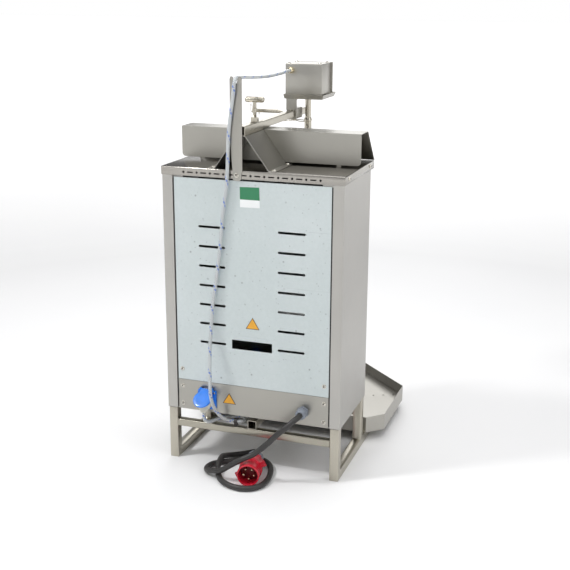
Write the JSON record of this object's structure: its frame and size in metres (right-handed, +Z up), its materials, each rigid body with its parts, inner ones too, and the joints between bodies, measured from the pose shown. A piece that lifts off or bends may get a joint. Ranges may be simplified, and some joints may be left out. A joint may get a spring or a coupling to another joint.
{
  "type": "vertical spit broiler",
  "caption": "Electric vertical spit broiler with a louvred casing on a tube frame, sliding motor arm with driven spit, drip tray, and leads with plugs.",
  "frame": {"origin": "on the floor, in the middle of the machine's width and depth, leads left out", "axes": "+Z up; the spit and drip tray are at -Y, the wiring side with its leads is at +Y; +X is the side of the blue panel socket"},
  "size_m": [0.59, 0.8834, 1.0789],
  "materials": {
    "steel": "brushed",
    "galvanised_sheet": "galvanised",
    "polished_steel": "polished",
    "heating_element": "oxidised sheath",
    "screw_steel": "turned",
    "black_rubber": "matte",
    "grey_plastic": "matte",
    "blue_plastic": "gloss",
    "ivory_plastic": "matte",
    "black_plastic": "matte",
    "braided_sleeve": "clear sleeve over braid",
    "red_plastic": "gloss",
    "nickel_brass": "satin",
    "cast_motor": "matte",
    "green_rocker": "gloss"
  },
  "bodies": {
    "frame": {"left_side_frame": "steel", "right_side_frame": "steel", "rear_crossbar": "steel", "front_crossbar": "steel", "lower_outer_tube": "steel", "left_side_panel": "steel", "right_side_panel": "steel", "rear_panel": "galvanised_sheet", "lower_rear_panel": "steel", "bottom_plate": "steel", "front_fascia": "steel", "heater_reflector": "polished_steel", "heating_element_1": "heating_element", "heating_element_2": "heating_element", "heating_element_3": "heating_element", "guard_grid": "screw_steel", "top_cover": "steel", "heat_hood": "steel", "arm_saddle": "steel", "arm_outer_tube": "steel", "cable_holder": "steel", "cable_clip": "black_rubber", "supply_gland": "grey_plastic", "socket_flange": "blue_plastic", "angled_plug": "ivory_plastic", "heat_regulator_1": "grey_plastic", "heat_regulator_2": "grey_plastic", "heat_regulator_3": "grey_plastic", "switch_bezel": "black_plastic", "motor_cable": "braided_sleeve", "motor_cable_span": "braided_sleeve", "supply_cable": "black_rubber", "plug_shell": "red_plastic", "plug_gland": "grey_plastic", "plug_pin_insert": "nickel_brass"},
    "arm": {"arm_inner_tube": "steel", "motor_collar": "steel", "motor_pan": "steel", "motor_cover": "steel", "motor_front_plate": "steel", "gear_motor": "cast_motor", "motor_gland": "nickel_brass"},
    "clamp": {"clamp_screw": "screw_steel"},
    "wing": {"wing_bolt": "screw_steel"},
    "spit": {"drive_shaft": "polished_steel", "coupling_sleeve": "polished_steel", "cross_pin": "screw_steel", "spit_rod": "polished_steel", "meat_disc": "polished_steel"},
    "lower_carriage": {"lower_inner_tube": "steel", "lower_bearing": "polished_steel"},
    "tray": {"drip_tray": "steel"},
    "tray_plate": {"drip_plate": "steel"},
    "knob_1": {"heat_knob_1": "black_plastic"},
    "knob_2": {"heat_knob_2": "black_plastic"},
    "knob_3": {"heat_knob_3": "black_plastic"},
    "switch": {"motor_switch": "green_rocker"},
    "lid": {"socket_lid": "blue_plastic"}
  },
  "joints": [
    {"name": "arm_slide", "type": "slide", "parent": "frame", "child": "arm", "axis": [0, 1, 0], "range_m": [-0.03, 0.04], "deforming": ["motor_cable_span"]},
    {"name": "lower_slide", "type": "slide", "parent": "frame", "child": "lower_carriage", "axis": [0, 1, 0], "range_m": [-0.03, 0.04]},
    {"name": "spit_turn", "type": "hinge", "parent": "arm", "child": "spit", "pos_m": [0, -0.1354, 0.9], "axis": [0, 0, 1], "continuous": true},
    {"name": "arm_clamp_turn", "type": "hinge", "parent": "frame", "child": "clamp", "pos_m": [0.028, 0.2366, 0.95], "axis": [0, 0, 1], "range_deg": [0, 360]},
    {"name": "wing_bolt_turn", "type": "hinge", "parent": "arm", "child": "wing", "pos_m": [0.028, -0.0884, 0.916], "axis": [0, 0, 1], "range_deg": [0, 360]},
    {"name": "tray_slide", "type": "slide", "parent": "frame", "child": "tray", "axis": [0, -1, 0], "range_m": [0, 0.22]},
    {"name": "tray_plate_lift", "type": "slide", "parent": "tray", "child": "tray_plate", "axis": [0, 0, 1], "range_m": [0, 0.02]},
    {"name": "heat_knob_turn_1", "type": "hinge", "parent": "frame", "child": "knob_1", "pos_m": [0.14, 0.0808, 0.196], "axis": [0, -1, 0], "range_deg": [0, 270]},
    {"name": "heat_knob_turn_2", "type": "hinge", "parent": "frame", "child": "knob_2", "pos_m": [0.055, 0.0808, 0.196], "axis": [0, -1, 0], "range_deg": [0, 270]},
    {"name": "heat_knob_turn_3", "type": "hinge", "parent": "frame", "child": "knob_3", "pos_m": [-0.03, 0.0808, 0.196], "axis": [0, -1, 0], "range_deg": [0, 270]},
    {"name": "motor_switch_rock", "type": "hinge", "parent": "frame", "child": "switch", "pos_m": [-0.135, 0.0856, 0.196], "axis": [1, 0, 0], "range_deg": [-14, 0]},
    {"name": "socket_lid_hinge", "type": "hinge", "parent": "frame", "child": "lid", "pos_m": [0.131, 0.3516, 0.2195], "axis": [1, 0, 0], "range_deg": [0, 55], "stiffness_Nm_per_rad": 0.03, "springref_deg": -34.38}
  ],
  "couplings": [
    {"joint": "lower_slide", "follows": "arm_slide", "ratio": 1}
  ]
}
